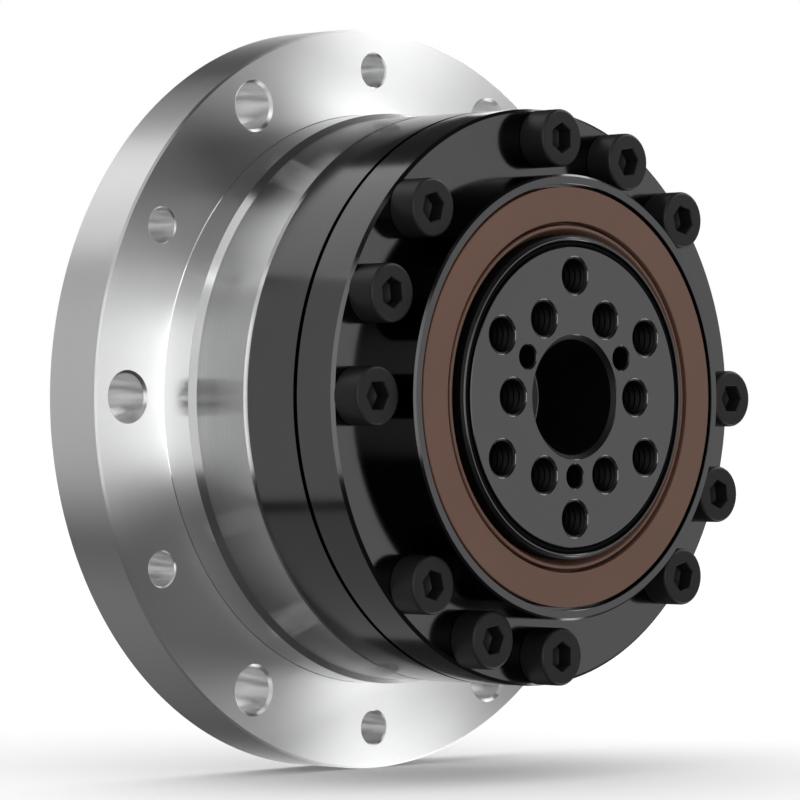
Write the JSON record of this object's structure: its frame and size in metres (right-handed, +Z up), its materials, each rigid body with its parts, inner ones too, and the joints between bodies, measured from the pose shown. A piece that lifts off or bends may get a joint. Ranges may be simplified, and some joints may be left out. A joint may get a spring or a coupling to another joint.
{
  "type": "cup-type strain wave gear",
  "caption": "Flange-mounted cup-type strain wave gear with a crossed-roller output bearing, a sealed output flange and an Oldham-coupled wave generator.",
  "frame": {"origin": "centre of the mounting flange's rear face, on the gear axis", "axes": "the gear axis lies along Y, the output face looks along -Y, the motor side along +Y, +Z is up"},
  "size_m": [0.073, 0.0338, 0.073],
  "materials": {
    "silver_aluminium": "turned, bright satin",
    "black_oxide_steel": "black oxide, ground",
    "screw_black": "black oxide, matt",
    "brown_rubber": "moulded fluororubber",
    "black_rubber": "moulded nitrile",
    "zinc_steel": "zinc plated",
    "spline_steel": "hobbed and ground",
    "output_black": "black oxide, turned satin",
    "cup_steel": "fine turned alloy steel",
    "ground_steel": "ground and polished",
    "plug_steel": "turned",
    "separator_nylon": "natural nylon",
    "insert_bronze": "sintered bronze",
    "washer_plastic": "filled plastic"
  },
  "bodies": {
    "housing": {"housing_flange": "silver_aluminium", "circular_spline": "spline_steel", "spline_screws": "screw_black", "bearing_ring_rear": "black_oxide_steel", "bearing_ring_front": "black_oxide_steel", "bearing_screws": "screw_black", "output_seal": "brown_rubber", "seal_case": "zinc_steel", "seal_spring": "zinc_steel", "housing_oring": "black_rubber", "rear_face_oring": "black_rubber"},
    "output": {"output_flange": "output_black", "flexspline": "cup_steel", "flexspline_clamp": "spline_steel", "flexspline_bolts": "screw_black", "dowel_pins": "ground_steel", "output_face_oring": "black_rubber"},
    "roller_set": {"crossed_rollers": "ground_steel"},
    "wave_generator": {"wave_plug": "plug_steel", "wave_inner_race": "ground_steel", "wave_outer_race": "ground_steel", "wave_balls": "ground_steel", "ball_separator": "separator_nylon", "oldham_insert": "insert_bronze", "oldham_hub": "plug_steel", "hub_set_screws": "screw_black", "rub_washer": "washer_plastic", "snap_ring": "black_oxide_steel"}
  },
  "joints": [
    {"name": "input_spin", "type": "hinge", "parent": "housing", "child": "wave_generator", "pos_m": [0, 0, 0], "axis": [0, -1, 0], "continuous": true, "deforming": ["flexspline"]},
    {"name": "output_spin", "type": "hinge", "parent": "housing", "child": "output", "pos_m": [0, 0, 0], "axis": [0, -1, 0], "continuous": true},
    {"name": "roller_orbit", "type": "hinge", "parent": "housing", "child": "roller_set", "pos_m": [0, -0.02415, 0], "axis": [0, -1, 0], "continuous": true}
  ],
  "couplings": [
    {"joint": "output_spin", "follows": "input_spin", "ratio": -0.02},
    {"joint": "roller_orbit", "follows": "input_spin", "ratio": -0.009448}
  ]
}
